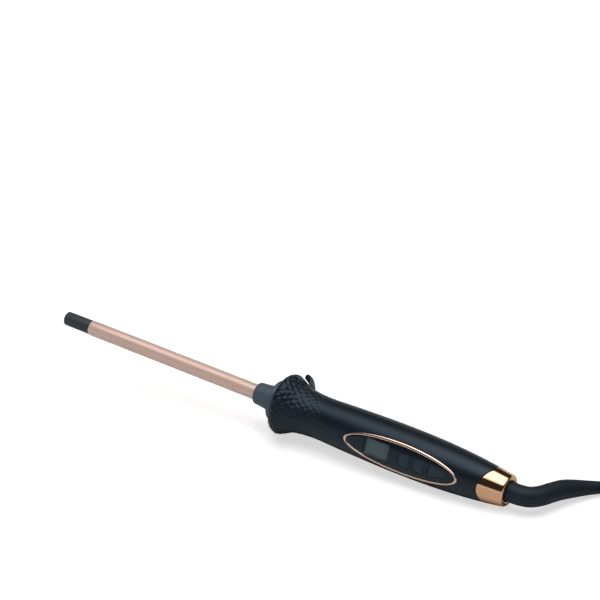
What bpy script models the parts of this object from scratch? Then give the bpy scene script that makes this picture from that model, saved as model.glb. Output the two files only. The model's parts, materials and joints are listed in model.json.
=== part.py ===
"""A slim curling wand with a display and three keys, lying on a table with its mains lead.

The wand is laid out in its own frame: x runs along its axis from the tip to the cord end, z points
straight out of the control panel and y across it. An empty, wand_rest, holds that frame in the pose
in which the wand lies: on its stand and on its belly, with the barrel a little raised. The lead is
laid out in world coordinates. All sizes are in metres; MM makes them readable.
"""

import bpy
import bmesh
from math import atan2, cos, pi, radians, sin, sqrt
from mathutils import Matrix, Vector, geometry

MM = 0.001
GAP = 0.3 * MM                # left between pieces that touch
TURNS = 32                    # facets round a turned piece that shows
INNER_TURNS = 20              # and round one inside

# Heated end
TIP_END_X = -141.0 * MM
BARREL_FRONT_X = -122.0 * MM
BARREL_REAR_X = 33.5 * MM
BARREL_FRONT_R = 4.85 * MM
BARREL_R = 5.0 * MM
BARREL_BORE_R = 4.2 * MM
TIP_R = 4.45 * MM
SPIGOT_R = BARREL_BORE_R - GAP
HEATER_X = (-112.0 * MM, -12.0 * MM)
HEATER_HALF_WIDTH = 2.4 * MM
HEATER_HALF_THICK = 0.8 * MM

# Collar that the barrel leaves the handle by
COLLAR_FRONT_X = 3.4 * MM
COLLAR_REAR_X = 31.0 * MM
COLLAR_R = 8.0 * MM
COLLAR_BORE_R = 6.4 * MM
FLANGE_X = (17.1 * MM, 20.1 * MM)
FLANGE_R = 13.0 * MM

# Handle: stations of its outline, front to rear, as (x, radius)
OUTLINE = [(20.4, 13.0), (21.3, 16.0), (22.5, 18.2), (24.0, 19.35), (25.8, 19.75), (28.0, 18.9),
           (31.0, 17.4), (34.0, 16.0), (37.0, 15.0), (41.0, 14.45), (46.0, 13.95), (53.0, 13.73),
           (62.0, 14.0), (74.0, 14.5), (88.0, 14.92), (101.0, 15.22), (112.0, 15.3),
           (124.0, 15.2), (135.0, 14.93), (145.0, 14.45), (154.0, 13.85), (162.0, 13.15)]
OUTLINE = [(x * MM, r * MM) for x, r in OUTLINE]
WALL = 2.0 * MM
RING_EDGE_X = 171.8 * MM      # mean line where the shells meet the end ring
RING_EDGE_R = 12.1 * MM
RING_WAVE = 2.8 * MM          # how far that line swings to and fro round the handle
RING_REAR_X = 186.0 * MM
RING_REAR_R = 10.0 * MM
SEAM_ANGLE = 0.7              # degrees that each shell stops short of the seam

# Control panel: a crowned oval let into the handle
PANEL_X = 115.5 * MM
PANEL_HALF_LONG = 40.5 * MM
PANEL_HALF_WIDE = 10.1 * MM
PANEL_CROWN_R = 19.6 * MM     # radius of the crown across the panel
BEZEL_WIDE = 1.8 * MM
BEZEL_DEEP = 2.6 * MM
FACE_SUNK = 0.35 * MM         # panel face below the bezel
FACE_THICK = 1.4 * MM
WINDOW_X = (90.0 * MM, 107.5 * MM)
WINDOW_HALF = 5.8 * MM
KEY_HALF = 4.0 * MM
KEY_ROUND = 1.2 * MM
KEY_PROUD = 0.15 * MM
KEY_BASE_Z = 12.9 * MM
KEYS = {"minus": (115.0 * MM, 122.3 * MM), "plus": (125.4 * MM, 132.8 * MM),
        "power": (136.0 * MM, 148.0 * MM)}
BOARD_X = (66.0 * MM, 148.5 * MM)
BOARD_Z = (7.6 * MM, 9.2 * MM)
BOARD_HALF = 7.2 * MM
SWITCH_HALF = 3.0 * MM

# Screws through the back shell into pillars of the panel shell
SCREW_X = (57.0 * MM, 161.0 * MM)
PILLAR_R = 2.8 * MM
SHANK_R = 1.0 * MM
HEAD_R = 2.0 * MM
HEAD_DEEP = 0.8 * MM

# Stand: a hoop hinged to a lug on the handle's back, which leans on the flare when open
STAND_X = 39.0 * MM
STAND_Z = -17.2 * MM
LUG_HALF = 2.0 * MM
LUG_R = 2.2 * MM
STAND_ARM_Y = (2.3 * MM, 5.3 * MM)
STAND_BOSS_R = 2.3 * MM
STAND_END_ANGLE = 118.0       # degrees from the panel to each end of the hoop
PIN_R = 1.0 * MM

# Swivel of the lead
BUSH_X = (178.8 * MM, 183.0 * MM)
BUSH_BORE_R = 6.9 * MM
CORE_X = (166.0 * MM, 178.5 * MM)
CORE_R = 3.2 * MM
CORE_FLANGE_R = 7.4 * MM
SLIP_RINGS = {"live": 167.2 * MM, "neutral": 171.6 * MM}
SLIP_RING_R = 4.5 * MM
SLIP_RING_LONG = 2.2 * MM

# How the wand lies
TILT = radians(3.35)          # barrel up
ROLL = radians(12.2)          # panel above the horizontal
REST_POINT = Vector((-0.17 * MM, -1.14 * MM, 21.69 * MM))
MIDDLE_X = 22.5 * MM          # the wand's station above the origin

# Lead
CORD_D = 6.4 * MM
BOOT_R = (6.6 * MM, 6.2 * MM, 3.9 * MM)
BOOT_WAIST = 0.62              # share of the boot's length before it tapers
HANK_RUN = 110.0 * MM
HANK_MIDDLE = Vector((304.0 * MM, 37.0 * MM, 0.0))
HANK_LOOPS_R = (3 * CORD_D, 4 * CORD_D)
HANK_LAYERS = 3
HANK_LIFT = 1.6 * MM           # the tie passes under the hank
TIE_WIDE = 12.0 * MM
TIE_THICK = 1.2 * MM
PLUG_LONG = 34.0 * MM
PLUG_FACE = (35.3 * MM, 13.7 * MM)
PLUG_PIN_SPACING = 18.6 * MM


def clear_scene():
    for old in list(bpy.data.objects):
        bpy.data.objects.remove(old, do_unlink=True)


def finish(name, rgb, roughness, metallic=0.0):
    material = bpy.data.materials.new(name)
    material.use_nodes = True
    shader = material.node_tree.nodes["Principled BSDF"]
    shader.inputs["Base Color"].default_value = (*rgb, 1.0)
    shader.inputs["Roughness"].default_value = roughness
    shader.inputs["Metallic"].default_value = metallic
    material.diffuse_color = (*rgb, 1.0)
    return material


def add_mesh(name, bm, material, parent=None, origin=(0, 0, 0), sharp=35.0):
    """Make an object of a bmesh, with its own origin, and drop the bmesh."""
    bmesh.ops.translate(bm, verts=bm.verts, vec=-Vector(origin))
    bmesh.ops.recalc_face_normals(bm, faces=bm.faces)
    mesh = bpy.data.meshes.new(name)
    bm.to_mesh(mesh)
    bm.free()
    mesh.materials.append(material)
    mesh.shade_smooth()
    mesh.set_sharp_from_angle(angle=radians(sharp))
    piece = bpy.data.objects.new(name, mesh)
    piece.location = origin
    piece.parent = parent
    bpy.context.collection.objects.link(piece)
    return piece


def turned(points, turns=TURNS):
    """Spin an outline of (x, radius) all the way round the x axis.

    An outline that starts on the axis ends on it too; any other one closes on itself.
    """
    bm = bmesh.new()
    verts = [bm.verts.new((x, 0.0, r)) for x, r in points]
    after = verts[1:] if points[0][1] == 0 else verts[1:] + verts[:1]
    edges = [bm.edges.new(pair) for pair in zip(verts, after)]
    bmesh.ops.spin(bm, geom=edges, cent=(0, 0, 0), axis=(1, 0, 0), angle=2 * pi,
                   steps=turns, use_merge=True, use_duplicate=False)
    bmesh.ops.remove_doubles(bm, verts=bm.verts, dist=1e-7)
    return bm


def closed_turn(points, start=0.0, sweep=180.0, turns=TURNS // 2):
    """A part turn of a closed outline, with a cap at each end."""
    bm = bmesh.new()
    rings = []
    for step in range(turns + 1):
        spin = Matrix.Rotation(radians(start + sweep * step / turns), 4, "X")
        rings.append([bm.verts.new(spin @ Vector((x, 0.0, r))) for x, r in points])
    for one, two in zip(rings, rings[1:]):
        for i in range(len(points)):
            j = (i + 1) % len(points)
            bm.faces.new((one[i], one[j], two[j], two[i]))
    bm.faces.new(rings[0])
    bm.faces.new(list(reversed(rings[-1])))
    bmesh.ops.triangulate(bm, faces=[f for f in bm.faces if len(f.verts) > 4])
    return bm


def slab(outline, low, high):
    """A prism that stands on a flat outline of (x, y), from z low to z high."""
    bm = bmesh.new()
    base = bm.faces.new([bm.verts.new((x, y, low)) for x, y in outline])
    top = bmesh.ops.extrude_face_region(bm, geom=[base])
    raised = [item for item in top["geom"] if isinstance(item, bmesh.types.BMVert)]
    bmesh.ops.translate(bm, verts=raised, vec=(0, 0, high - low))
    return bm


def block(x, y, z, edge=0.0):
    """A box between two corners, given as a (low, high) pair for each axis, with bevelled edges."""
    bm = slab([(x[0], y[0]), (x[1], y[0]), (x[1], y[1]), (x[0], y[1])], z[0], z[1])
    if edge:
        bmesh.ops.bevel(bm, geom=bm.edges, offset=edge, segments=2, profile=0.5, affect="EDGES")
    return bm


def rounded_outline(x, y, radius, steps=5):
    """A rectangle with round corners, counter-clockwise."""
    points = []
    corners = [(x[1], y[1], 0), (x[0], y[1], 90), (x[0], y[0], 180), (x[1], y[0], 270)]
    for corner_x, corner_y, first in corners:
        middle_x = corner_x - radius if corner_x == x[1] else corner_x + radius
        middle_y = corner_y - radius if corner_y == y[1] else corner_y + radius
        for step in range(steps + 1):
            angle = radians(first + 90.0 * step / steps)
            points.append((middle_x + radius * cos(angle), middle_y + radius * sin(angle)))
    return points


def rod(start, end, radius, turns=24):
    """A plain cylinder between two points."""
    start, end = Vector(start), Vector(end)
    along = end - start
    bm = bmesh.new()
    turn = Vector((0, 0, 1)).rotation_difference(along).to_matrix().to_4x4()
    place = Matrix.Translation((start + end) / 2) @ turn
    bmesh.ops.create_cone(bm, cap_ends=True, segments=turns, radius1=radius, radius2=radius,
                          depth=along.length, matrix=place)
    return bm


def cut(piece, tool_bm, name, operation="DIFFERENCE"):
    """Cut a piece with, or join it to, a shape given in the same frame."""
    mesh = bpy.data.meshes.new(name)
    bmesh.ops.translate(tool_bm, verts=tool_bm.verts, vec=-piece.location)
    bmesh.ops.recalc_face_normals(tool_bm, faces=tool_bm.faces)
    tool_bm.to_mesh(mesh)
    tool_bm.free()
    tool = bpy.data.objects.new(name, mesh)
    tool.location = piece.location
    tool.parent = piece.parent
    tool.hide_render = True
    tool.display_type = "WIRE"
    bpy.context.collection.objects.link(tool)
    step = piece.modifiers.new(name, "BOOLEAN")
    step.operation = operation
    step.solver = "EXACT"
    step.object = tool


def radius_at(x):
    """The handle's outer radius at a station, from its outline."""
    stations = OUTLINE + [(RING_EDGE_X, RING_EDGE_R), (RING_REAR_X, RING_REAR_R)]
    for (x0, r0), (x1, r1) in zip(stations, stations[1:]):
        if x <= x1:
            return r0 + (r1 - r0) * (x - x0) / (x1 - x0)
    return stations[-1][1]


def panel_top(x, y):
    """Height of the panel's crowned surface over the wand's axis."""
    return radius_at(x) + 0.2 * MM - y * y / (2 * PANEL_CROWN_R)


def oval(scale_long, scale_wide, count=48):
    return [(PANEL_X + scale_long * cos(2 * pi * i / count), scale_wide * sin(2 * pi * i / count))
            for i in range(count)]


def wave_edge(bm):
    """Swing the line between shells and end ring to and fro round the handle."""
    for vert in bm.verts:
        if abs(vert.co.x - RING_EDGE_X) < 1.0 * MM:
            angle = atan2(vert.co.y, vert.co.z)
            vert.co.x -= RING_WAVE * cos(2 * angle)


# ---------------------------------------------------------------- heated end

def cool_tip(parent, material):
    x0, x1 = TIP_END_X, BARREL_FRONT_X - GAP
    edge = 1.1 * MM
    arc = [(x0 + edge - edge * cos(a), TIP_R - edge + edge * sin(a)) for a in
           (radians(step * 22.5) for step in range(5))]
    outline = [(x0, 0.0)] + arc + [(x1, TIP_R + 0.1 * MM), (x1, SPIGOT_R)]
    outline += [(x1 + 8.0 * MM, SPIGOT_R), (x1 + 8.0 * MM, 0.0)]
    add_mesh("cool_tip", turned(outline), material, parent)


def barrel(parent, material):
    chamfer = 0.4 * MM
    outline = [(BARREL_FRONT_X, BARREL_BORE_R), (BARREL_FRONT_X, BARREL_FRONT_R - chamfer),
               (BARREL_FRONT_X + chamfer, BARREL_FRONT_R), (0.0, BARREL_R),
               (BARREL_REAR_X, BARREL_R), (BARREL_REAR_X, BARREL_BORE_R)]
    add_mesh("barrel", turned(outline), material, parent)


def heater(parent, ceramic, metal, insulation):
    core = block(HEATER_X, (-HEATER_HALF_WIDTH, HEATER_HALF_WIDTH),
                 (-HEATER_HALF_THICK, HEATER_HALF_THICK), 0.2 * MM)
    add_mesh("heater_core", core, ceramic, parent)
    flat = HEATER_HALF_THICK + GAP
    reach = BARREL_BORE_R - GAP
    half_angle = pi / 2 - atan2(flat, sqrt(reach ** 2 - flat ** 2))
    for name, side in (("front", 1), ("back", -1)):
        arc = [(reach * sin(half_angle * k / 6), side * reach * cos(half_angle * k / 6))
               for k in range(-6, 7)]
        carrier = slab(arc, *HEATER_X)
        turn = Matrix(((0, 0, 1, 0), (1, 0, 0, 0), (0, 1, 0, 0), (0, 0, 0, 1)))
        bmesh.ops.transform(carrier, matrix=turn, verts=carrier.verts)
        add_mesh(f"heater_carrier_{name}", carrier, metal, parent)
    for number, side in ((1, -1), (2, 1)):
        y = side * 2.0 * MM
        route = [(HEATER_X[1] + GAP, y, 0), (10 * MM, y, 0), (34 * MM, y, 0),
                 (42 * MM, y * 1.5, 0), (49 * MM, y * 2.1, 1.0 * MM),
                 (64 * MM, y * 2.1, 4.6 * MM), (70 * MM, y * 1.9, 5.8 * MM)]
        wire(f"heater_lead_{number}", route, 0.8 * MM, insulation, parent)


def wire(name, route, radius, material, parent=None, radii=None, sides=2):
    """A round wire or cord along its points, with flat ends."""
    curve = bpy.data.curves.new(name, "CURVE")
    curve.dimensions = "3D"
    curve.bevel_depth = radius
    curve.bevel_resolution = sides
    curve.use_fill_caps = True
    spline = curve.splines.new("POLY")
    spline.points.add(len(route) - 1)
    for index, place in enumerate(route):
        spline.points[index].co = (*place, 1.0)
        spline.points[index].radius = radii[index] / radius if radii else 1.0
    curve.materials.append(material)
    piece = bpy.data.objects.new(name, curve)
    piece.parent = parent
    bpy.context.collection.objects.link(piece)
    return piece


def collar(parent, dark, insulation, steel):
    lip = COLLAR_FRONT_X + 2.6 * MM
    nose = [(COLLAR_FRONT_X, BARREL_R + GAP), (COLLAR_FRONT_X, 6.2 * MM),
            (COLLAR_FRONT_X + 0.3 * MM, 6.65 * MM), (COLLAR_FRONT_X + 1.0 * MM, 6.95 * MM),
            (10.6 * MM, 7.6 * MM), (12.5 * MM, COLLAR_R), (COLLAR_REAR_X, COLLAR_R),
            (COLLAR_REAR_X, COLLAR_BORE_R), (lip, COLLAR_BORE_R), (lip, BARREL_R + GAP)]
    add_mesh("collar", turned(nose), dark, parent)
    x0, x1 = FLANGE_X
    edge = 0.5 * MM
    ring = [(x0, COLLAR_R + GAP), (x0, FLANGE_R - edge), (x0 + edge, FLANGE_R),
            (x1, FLANGE_R), (x1, COLLAR_R + GAP)]
    add_mesh("flange_ring", turned(ring), dark, parent)
    x0, x1 = lip + GAP, COLLAR_REAR_X
    sleeve = [(x0, BARREL_R + GAP), (x0, COLLAR_BORE_R - GAP), (x1, COLLAR_BORE_R - GAP),
              (x1, BARREL_R + GAP)]
    add_mesh("heat_sleeve", turned(sleeve, turns=INNER_TURNS), insulation, parent)
    x0, x1 = COLLAR_REAR_X + GAP, BARREL_REAR_X
    plate = [(x0, BARREL_R + GAP), (x0, 13.0 * MM), (x1, 13.0 * MM), (x1, BARREL_R + GAP)]
    add_mesh("barrel_clamp", turned(plate, turns=INNER_TURNS), steel, parent)
    fuse = rod((42 * MM, 0, -7 * MM), (53 * MM, 0, -7 * MM), 1.9 * MM)
    add_mesh("thermal_fuse", fuse, steel, parent)


# ---------------------------------------------------------------- handle

def shell_outline():
    """The closed outline of one handle half: skin, step for the end ring, and inner wall."""
    spigot_r = RING_REAR_R - 1.6 * MM - GAP
    skin = list(OUTLINE)
    skin.append((RING_EDGE_X - GAP, RING_EDGE_R + 0.05 * MM))
    skin.append((RING_EDGE_X - GAP, spigot_r + 1.2 * MM))
    skin.append((RING_EDGE_X + 4.0 * MM, spigot_r + 1.0 * MM))
    skin.append((BUSH_X[1], spigot_r + 0.6 * MM))
    skin.append((BUSH_X[1], spigot_r - 0.4 * MM))
    skin.append((RING_EDGE_X - 3.6 * MM, spigot_r))
    inner = [(x + (0.9 * MM if x < 25 * MM else 0), r - WALL) for x, r in reversed(OUTLINE[3:-1:2])]
    front = [(22.4 * MM, 15.6 * MM), (22.4 * MM, COLLAR_R + GAP), (OUTLINE[0][0], COLLAR_R + GAP)]
    return skin + inner + front


def shells(parent, material):
    oval_tool = slab(oval(PANEL_HALF_LONG + GAP, PANEL_HALF_WIDE + GAP), 2.0 * MM, 25.0 * MM)
    for name, start in (("panel_shell", -90.0), ("back_shell", 90.0)):
        bm = closed_turn(shell_outline(), start + SEAM_ANGLE, 180.0 - 2 * SEAM_ANGLE)
        wave_edge(bm)
        shell = add_mesh(name, bm, material, parent)
        if name == "panel_shell":
            cut(shell, oval_tool, "panel_opening")
            for x in SCREW_X:
                wall = radius_at(x) - 0.6 * MM
                cut(shell, rod((x, 0, 1.0 * MM), (x, 0, wall), PILLAR_R), "pillar", "UNION")
                bore = rod((x, 0, 0), (x, 0, wall - 3.0 * MM), SHANK_R + GAP)
                cut(shell, bore, "pillar_bore")
        else:
            lug = rod((STAND_X, -LUG_HALF, STAND_Z), (STAND_X, LUG_HALF, STAND_Z), LUG_R)
            cut(shell, lug, "stand_lug", "UNION")
            foot = block((STAND_X - 2.1 * MM, STAND_X + 2.1 * MM), (-LUG_HALF, LUG_HALF),
                         (STAND_Z, STAND_Z + 3.8 * MM))
            cut(shell, foot, "lug_foot", "UNION")
            hole = rod((STAND_X, -8 * MM, STAND_Z), (STAND_X, 8 * MM, STAND_Z), PIN_R + GAP)
            cut(shell, hole, "lug_hole")
            for x in SCREW_X:
                outer = radius_at(x)
                cut(shell, rod((x, 0, -30 * MM), (x, 0, -5 * MM), SHANK_R + GAP), "screw_way")
                well = rod((x, 0, -30 * MM), (x, 0, -outer + HEAD_DEEP + GAP), HEAD_R + GAP)
                cut(shell, well, "screw_well")


def screws(parent, material):
    for number, x in enumerate(SCREW_X, 1):
        outer = radius_at(x)
        long = 15.0 * MM
        outline = [(0, 0), (0, HEAD_R), (HEAD_DEEP - 0.2 * MM, HEAD_R),
                   (HEAD_DEEP - 0.2 * MM, SHANK_R), (long, SHANK_R), (long + 1 * MM, 0)]
        bm = turned(outline, turns=20)
        stand_up = Matrix.Translation((x, 0, -outer + 0.1 * MM)) @ Matrix.Rotation(-pi / 2, 4, "Y")
        bmesh.ops.transform(bm, matrix=stand_up, verts=bm.verts)
        add_mesh(f"shell_screw_{number}", bm, material, parent)


def end_ring(parent, material):
    wall = 1.6 * MM
    outline = [(RING_EDGE_X, RING_EDGE_R), (RING_REAR_X - 1.0 * MM, RING_REAR_R + 0.15 * MM),
               (RING_REAR_X - 0.3 * MM, RING_REAR_R - 0.15 * MM), (RING_REAR_X, RING_REAR_R - 0.8 * MM),
               (RING_REAR_X, BUSH_BORE_R + 0.2 * MM), (RING_REAR_X - 1.6 * MM, BUSH_BORE_R + 0.2 * MM),
               (RING_REAR_X - 2.4 * MM, RING_REAR_R - wall + 0.9 * MM),
               (RING_EDGE_X + 4.4 * MM, RING_REAR_R - wall + 1.0 * MM),
               (RING_EDGE_X, RING_REAR_R - wall + 1.3 * MM)]
    bm = turned(outline)
    wave_edge(bm)
    add_mesh("end_ring", bm, material, parent)


# ---------------------------------------------------------------- control panel

def bezel(parent, material):
    count = 48
    bm = bmesh.new()
    section = [(0.0, -BEZEL_DEEP), (0.0, -0.5 * MM), (0.4 * MM, 0.0),
               (BEZEL_WIDE - 0.4 * MM, 0.0), (BEZEL_WIDE, -0.4 * MM), (BEZEL_WIDE, -BEZEL_DEEP)]
    rings = []
    for i in range(count):
        angle = 2 * pi * i / count
        ring = []
        for inset, drop in section:
            x = PANEL_X + (PANEL_HALF_LONG - inset) * cos(angle)
            y = (PANEL_HALF_WIDE - inset) * sin(angle)
            ring.append(bm.verts.new((x, y, panel_top(x, y) + drop)))
        rings.append(ring)
    for i, ring in enumerate(rings):
        after = rings[(i + 1) % count]
        for j in range(len(section)):
            k = (j + 1) % len(section)
            bm.faces.new((ring[j], ring[k], after[k], after[j]))
    add_mesh("bezel", bm, material, parent)


def crowned_plate(half_long, half_wide, sunk, thick, count=48, rows=2):
    """An oval plate whose two faces follow the panel's crown."""
    bm = bmesh.new()
    faces = []
    for drop in (sunk, sunk + thick):
        middle = bm.verts.new((PANEL_X, 0, panel_top(PANEL_X, 0) - drop))
        rings = []
        for row in range(1, rows + 1):
            share = row / rows
            rings.append([bm.verts.new((x, y, panel_top(x, y) - drop)) for x, y in
                          oval(half_long * share, half_wide * share, count)])
        for i in range(count):
            j = (i + 1) % count
            bm.faces.new((middle, rings[0][i], rings[0][j]))
            for one, two in zip(rings, rings[1:]):
                bm.faces.new((one[i], two[i], two[j], one[j]))
        faces.append(rings[-1])
    for i in range(count):
        j = (i + 1) % count
        bm.faces.new((faces[0][i], faces[1][i], faces[1][j], faces[0][j]))
    return bm


def key_outline(name, grow=0.0):
    """Outline of a key: two rounded rectangles, and a pointed key at the cord end."""
    x0, x1 = KEYS[name]
    low, high = -KEY_HALF - grow, KEY_HALF + grow
    if name != "power":
        return rounded_outline((x0 - grow, x1 + grow), (low, high), KEY_ROUND + grow)
    nose_r = 1.3 * MM + grow
    nose_x = x1 - 1.3 * MM
    back = rounded_outline((x0 - grow, x0 + 4 * MM), (low, high), KEY_ROUND + grow)
    points = [p for p in back if p[0] < x0 + 2 * MM]
    nose = [(nose_x + nose_r * cos(a), nose_r * sin(a))
            for a in (radians(-70 + 20 * step) for step in range(8))]
    return points + nose


def panel(parent, gloss, glass, dark):
    half_long = PANEL_HALF_LONG - BEZEL_WIDE - GAP
    half_wide = PANEL_HALF_WIDE - BEZEL_WIDE - GAP
    face = add_mesh("panel_face", crowned_plate(half_long, half_wide, FACE_SUNK, FACE_THICK),
                    gloss, parent)
    half = (-WINDOW_HALF, WINDOW_HALF)
    cut(face, slab(rounded_outline(WINDOW_X, half, 0.8 * MM), 5 * MM, 20 * MM), "window_opening")
    for name in KEYS:
        cut(face, slab(key_outline(name, GAP), 5 * MM, 20 * MM), f"{name}_opening")

    x0, x1 = WINDOW_X[0] + GAP, WINDOW_X[1] - GAP
    top = radius_at(WINDOW_X[0]) - FACE_SUNK
    pane = slab(rounded_outline((x0, x1), (-WINDOW_HALF + GAP, WINDOW_HALF - GAP), 0.6 * MM),
                top - FACE_THICK, top)
    add_mesh("lcd_window", pane, glass, parent)
    module = block((x0, x1 + 1.0 * MM), (-5.2 * MM, 5.2 * MM), (9.6 * MM, 11.6 * MM),
                   0.2 * MM)
    add_mesh("lcd_module", module, dark, parent)


def keys(parent, material):
    for name, (x0, x1) in KEYS.items():
        middle = (x0 + x1) / 2
        top = panel_top(middle, 0) - FACE_SUNK + KEY_PROUD
        bm = slab(key_outline(name), KEY_BASE_Z, top)
        add_mesh(f"{name}_button", bm, material, parent, origin=(middle, 0, KEY_BASE_Z))


def electronics(parent, green, dark, ceramic, steel):
    half = (-BOARD_HALF, BOARD_HALF)
    add_mesh("circuit_board", block(BOARD_X, half, BOARD_Z), green, parent)
    base = BOARD_Z[1] + GAP
    for name, (x0, x1) in KEYS.items():
        middle = (x0 + x1) / 2 if name != "power" else x0 + 5 * MM
        bm = bmesh.new()
        size = Matrix.Diagonal((2 * SWITCH_HALF, 2 * SWITCH_HALF, 2.0 * MM, 1))
        bmesh.ops.create_cube(bm, size=1, matrix=Matrix.Translation((middle, 0, base + 1 * MM)) @ size)
        top = max(bm.faces, key=lambda face: face.calc_center_median().z)
        bmesh.ops.inset_region(bm, faces=[top], thickness=1.7 * MM)
        grown = bmesh.ops.extrude_face_region(bm, geom=[top])
        raised = [item for item in grown["geom"] if isinstance(item, bmesh.types.BMVert)]
        bmesh.ops.translate(bm, verts=raised, vec=(0, 0, 0.6 * MM))
        bmesh.ops.delete(bm, geom=[top], context="FACES_ONLY")
        add_mesh(f"{name}_switch", bm, dark, parent)
    below = BOARD_Z[0] - GAP
    add_mesh("capacitor", rod((88 * MM, 0, below - 9 * MM), (88 * MM, 0, below), 4.5 * MM),
             dark, parent)
    triac = block((100 * MM, 104.5 * MM), (-5 * MM, 5 * MM), (below - 14 * MM, below), 0.4 * MM)
    add_mesh("triac", triac, dark, parent)
    coil = block((118 * MM, 128 * MM), (-4 * MM, 4 * MM), (below - 5 * MM, below), 0.5 * MM)
    add_mesh("transformer", coil, ceramic, parent)


# ---------------------------------------------------------------- stand

def stand(parent, material, steel):
    first = STAND_END_ANGLE
    sweep = 360.0 - 2 * first
    section = [(29.5, 19.0), (31.6, 17.9), (33.9, 16.8), (33.5, 19.4), (32.8, 21.5), (31.9, 22.0),
               (30.3, 22.0), (29.5, 21.3)]
    hoop = closed_turn([(x * MM, r * MM) for x, r in section], first, sweep, 20)
    piece = add_mesh("stand", hoop, material, parent, origin=(STAND_X, 0, STAND_Z))
    flat = [(39.6, -15.2), (37.6, -15.5), (32.5, -18.2), (31.0, -19.0), (31.2, -20.8),
            (33.5, -20.6), (39.6, -19.3)]
    low, high = STAND_ARM_Y
    for side in (-1, 1):
        arm = slab([(x * MM, z * MM) for x, z in flat], low, high)
        upright = Matrix(((1, 0, 0, 0), (0, 0, side, 0), (0, 1, 0, 0), (0, 0, 0, 1)))
        bmesh.ops.transform(arm, matrix=upright, verts=arm.verts)
        cut(piece, arm, "stand_arm", "UNION")
        boss = rod((STAND_X, side * low, STAND_Z), (STAND_X, side * high, STAND_Z), STAND_BOSS_R)
        cut(piece, boss, "stand_boss", "UNION")
        hole = rod((STAND_X, side * 1 * MM, STAND_Z), (STAND_X, side * 8 * MM, STAND_Z), PIN_R + GAP)
        cut(piece, hole, "stand_hole")
        pin = rod((STAND_X, side * 0.2 * MM, STAND_Z), (STAND_X, side * (high - 0.2 * MM), STAND_Z),
                  PIN_R)
        add_mesh("stand_pin_left" if side < 0 else "stand_pin_right", pin, steel, parent)


# ---------------------------------------------------------------- swivel

def swivel(parent, dark, brass, material):
    x0, x1 = BUSH_X
    bush = [(x0, BUSH_BORE_R), (x0, 7.6 * MM), (x1, 7.6 * MM), (x1, BUSH_BORE_R)]
    add_mesh("swivel_bush", turned(bush, turns=INNER_TURNS), material, parent)
    x0, x1 = CORE_X
    step = x1 - 3 * MM
    outline = [(x0, 0), (x0, CORE_R), (step, CORE_R), (step, CORE_FLANGE_R),
               (x1, CORE_FLANGE_R), (x1, 0)]
    add_mesh("swivel_core", turned(outline, turns=INNER_TURNS), dark, parent)
    for name, x in SLIP_RINGS.items():
        ring = [(x, CORE_R + GAP), (x, SLIP_RING_R), (x + SLIP_RING_LONG, SLIP_RING_R),
                (x + SLIP_RING_LONG, CORE_R + GAP)]
        add_mesh(f"slip_ring_{name}", turned(ring, turns=INNER_TURNS), brass, parent)
        strip = [(-2.2 * MM, -5.7 * MM), (-2.2 * MM, -4.8 * MM), (2.6 * MM, -4.8 * MM),
                 (2.6 * MM, -5.1 * MM), (-1.8 * MM, -5.1 * MM), (-1.8 * MM, -5.7 * MM)]
        spring = slab(strip, x + 0.3 * MM, x + SLIP_RING_LONG - 0.3 * MM)
        turn = Matrix(((0, 0, 1, 0), (1, 0, 0, 0), (0, 1, 0, 0), (0, 0, 0, 1)))
        bmesh.ops.transform(spring, matrix=turn, verts=spring.verts)
        add_mesh(f"contact_spring_{name}", spring, brass, parent)
    base = block((166.5 * MM, 174.5 * MM), (-2.6 * MM, 2.6 * MM), (-7.0 * MM, -6.0 * MM))
    add_mesh("contact_block", base, dark, parent)


# ---------------------------------------------------------------- lead

def smooth_route(points, spacing):
    """Points a spacing apart on one smooth curve through the given points."""
    fine = []
    padded = [points[0] * 2 - points[1]] + points + [points[-1] * 2 - points[-2]]
    for before, start, end, after in zip(padded, padded[1:], padded[2:], padded[3:]):
        long = (end - start).length
        handle_a = start + (end - before).normalized() * long / 3
        handle_b = end - (after - start).normalized() * long / 3
        fine += geometry.interpolate_bezier(start, handle_a, handle_b, end, 17)[:-1]
    fine.append(points[-1])
    length = sum((b - a).length for a, b in zip(fine, fine[1:]))
    count = max(2, round(length / spacing))
    wanted = [length * i / count for i in range(count + 1)]
    out, run, i = [fine[0]], 0.0, 0
    for target in wanted[1:-1]:
        while run + (fine[i + 1] - fine[i]).length < target:
            run += (fine[i + 1] - fine[i]).length
            i += 1
        step = (fine[i + 1] - fine[i]).length
        out.append(fine[i].lerp(fine[i + 1], (target - run) / step))
    out.append(fine[-1])
    return out


def boot(rest, material):
    """The strain relief: out of the end ring, round a bend, then tapering to the cord."""
    start = rest @ Vector((BUSH_X[0], 0, 0))
    points = [start] + [Vector(p) * MM for p in BOOT_ROUTE]
    route = smooth_route(points, 2.2 * MM)
    radii = []
    for index in range(len(route)):
        share = index / (len(route) - 1)
        if share < BOOT_WAIST:
            radii.append(BOOT_R[0] + (BOOT_R[1] - BOOT_R[0]) * share / BOOT_WAIST)
        else:
            taper = (share - BOOT_WAIST) / (1 - BOOT_WAIST)
            radii.append(BOOT_R[1] + (BOOT_R[2] - BOOT_R[1]) * taper)
    wire("boot", route, BOOT_R[0], material, radii=radii, sides=4)


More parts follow.
